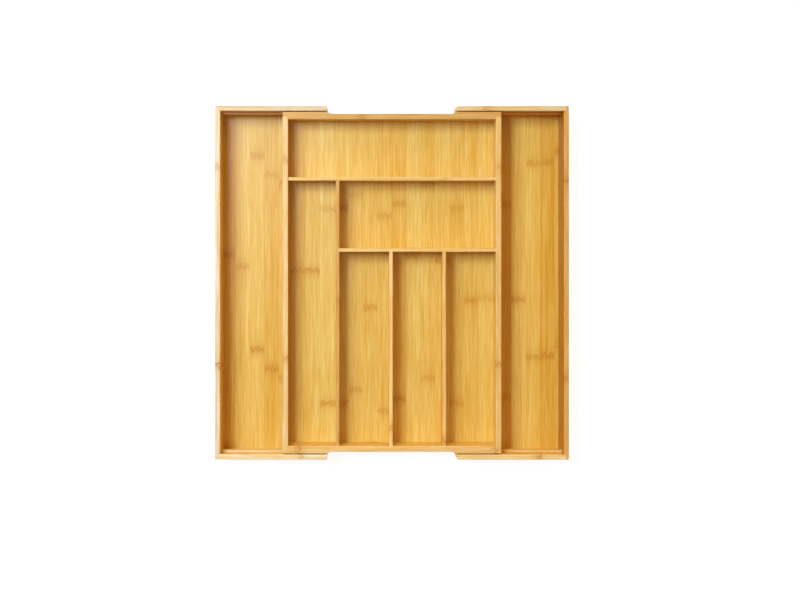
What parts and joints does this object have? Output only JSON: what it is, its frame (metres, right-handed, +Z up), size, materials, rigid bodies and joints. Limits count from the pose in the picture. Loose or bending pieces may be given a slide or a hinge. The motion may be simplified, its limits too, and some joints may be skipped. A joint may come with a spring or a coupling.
{
  "type": "expandable cutlery tray",
  "caption": "Bamboo drawer tray for cutlery with divided compartments; a wing slides out from under each side to widen it.",
  "frame": {"origin": "centre of the tray's outline on the surface that it stands on, with both wings pulled out", "axes": "+X across the tray towards the right wing, +Y towards its back edge (the shallow compartment), +Z up"},
  "size_m": [0.4444, 0.4444, 0.056],
  "materials": {
    "bamboo_wall": "sanded bamboo boards, clear satin lacquer",
    "bamboo_panel": "edge-glued bamboo strips with nodes, clear satin lacquer",
    "bamboo_divider": "sanded bamboo boards, clear satin lacquer",
    "bamboo_rail": "sanded bamboo strip, waxed"
  },
  "bodies": {
    "centre_tray": {"centre_back_wall": "bamboo_wall", "centre_front_wall": "bamboo_wall", "centre_left_wall": "bamboo_wall", "centre_right_wall": "bamboo_wall", "centre_base_panel": "bamboo_panel", "long_cross_divider": "bamboo_divider", "long_slot_divider": "bamboo_divider", "short_cross_divider": "bamboo_divider", "slot_divider_left": "bamboo_divider", "slot_divider_right": "bamboo_divider"},
    "left_wing": {"left_outer_wall": "bamboo_wall", "left_front_wall": "bamboo_wall", "left_back_wall": "bamboo_wall", "left_base_panel": "bamboo_panel", "left_front_rail": "bamboo_rail", "left_back_rail": "bamboo_rail", "left_stop_strip": "bamboo_rail"},
    "right_wing": {"right_outer_wall": "bamboo_wall", "right_front_wall": "bamboo_wall", "right_back_wall": "bamboo_wall", "right_base_panel": "bamboo_panel", "right_front_rail": "bamboo_rail", "right_back_rail": "bamboo_rail", "right_stop_strip": "bamboo_rail"}
  },
  "joints": [
    {"name": "left_wing_slide", "type": "slide", "parent": "centre_tray", "child": "left_wing", "axis": [1, 0, 0], "range_m": [0, 0.07775]},
    {"name": "right_wing_slide", "type": "slide", "parent": "centre_tray", "child": "right_wing", "axis": [-1, 0, 0], "range_m": [0, 0.07775]}
  ]
}
